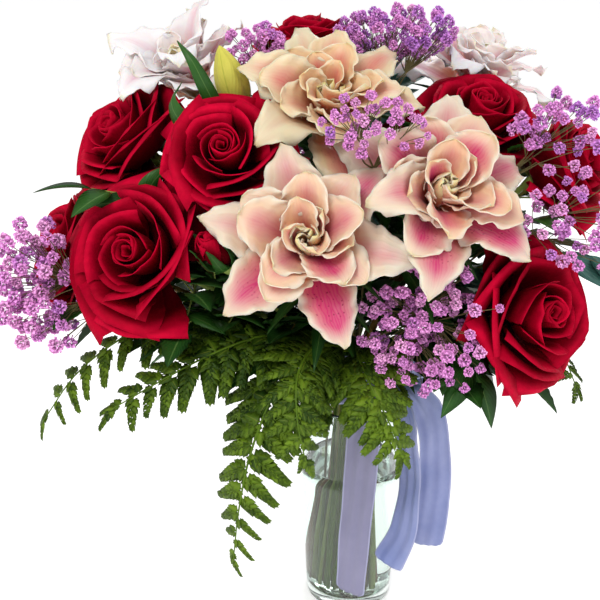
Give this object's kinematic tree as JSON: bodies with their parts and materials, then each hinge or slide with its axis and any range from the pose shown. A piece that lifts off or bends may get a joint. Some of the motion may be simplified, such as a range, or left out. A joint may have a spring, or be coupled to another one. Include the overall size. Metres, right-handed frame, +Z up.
{
  "type": "mixed flower bouquet",
  "caption": "Fan-shaped bouquet of red roses, double lilies, dyed gypsophila and fern, tied with a satin ribbon and standing in a clear glass vase of water.",
  "frame": {"origin": "middle of the vase's flat foot, on the surface that it stands on", "axes": "+Z up, -Y towards the front of the bouquet, +X to the right seen from the front"},
  "size_m": [0.5654, 0.3889, 0.5694],
  "materials": {
    "rose_petal": "velvety",
    "lily_petal": "satin",
    "pale_lily_petal": "satin",
    "lily_bud": "satin",
    "gypsophila": "matt",
    "stem": "satin",
    "fern": "satin",
    "leaf": "waxy",
    "glass": "polished",
    "water": "clear",
    "ribbon": "satin"
  },
  "bodies": {
    "root": {"fern_back": "fern", "fern_back_left": "fern", "fern_front_left": "fern", "fern_front_low": "fern", "fern_front_middle": "fern", "fern_front_right": "fern", "fern_left": "fern", "fern_right": "fern", "gypsophila_back": "gypsophila", "gypsophila_left": "gypsophila", "gypsophila_left_high": "gypsophila", "gypsophila_low": "gypsophila", "gypsophila_over_lily": "gypsophila", "gypsophila_right": "gypsophila", "gypsophila_right_high": "gypsophila", "gypsophila_top": "gypsophila", "leaves_back": "leaf", "leaves_far_right": "leaf", "leaves_left": "leaf", "leaves_right": "leaf", "lily_bud_bloom": "lily_bud", "lily_bud_stem": "stem", "lily_front_bloom": "lily_petal", "lily_front_stem": "stem", "lily_left_back_bloom": "pale_lily_petal", "lily_left_back_stem": "stem", "lily_right_back_bloom": "pale_lily_petal", "lily_right_back_stem": "stem", "lily_right_bloom": "lily_petal", "lily_right_stem": "stem", "lily_top_bloom": "lily_petal", "lily_top_stem": "stem", "ribbon": "ribbon", "rose_back_left_bloom": "rose_petal", "rose_back_left_stem": "stem", "rose_back_right_bloom": "rose_petal", "rose_back_right_stem": "stem", "rose_bud_bloom": "rose_petal", "rose_bud_stem": "stem", "rose_far_left_bloom": "rose_petal", "rose_far_left_stem": "stem", "rose_far_right_bloom": "rose_petal", "rose_far_right_stem": "stem", "rose_left_front_bloom": "rose_petal", "rose_left_front_stem": "stem", "rose_left_high_bloom": "rose_petal", "rose_left_high_stem": "stem", "rose_left_inner_bloom": "rose_petal", "rose_left_inner_stem": "stem", "rose_right_front_bloom": "rose_petal", "rose_right_front_stem": "stem", "rose_right_high_bloom": "rose_petal", "rose_right_high_stem": "stem", "rose_top_back_bloom": "rose_petal", "rose_top_back_stem": "stem", "vase": "glass", "water": "water"}
  },
  "joints": []
}
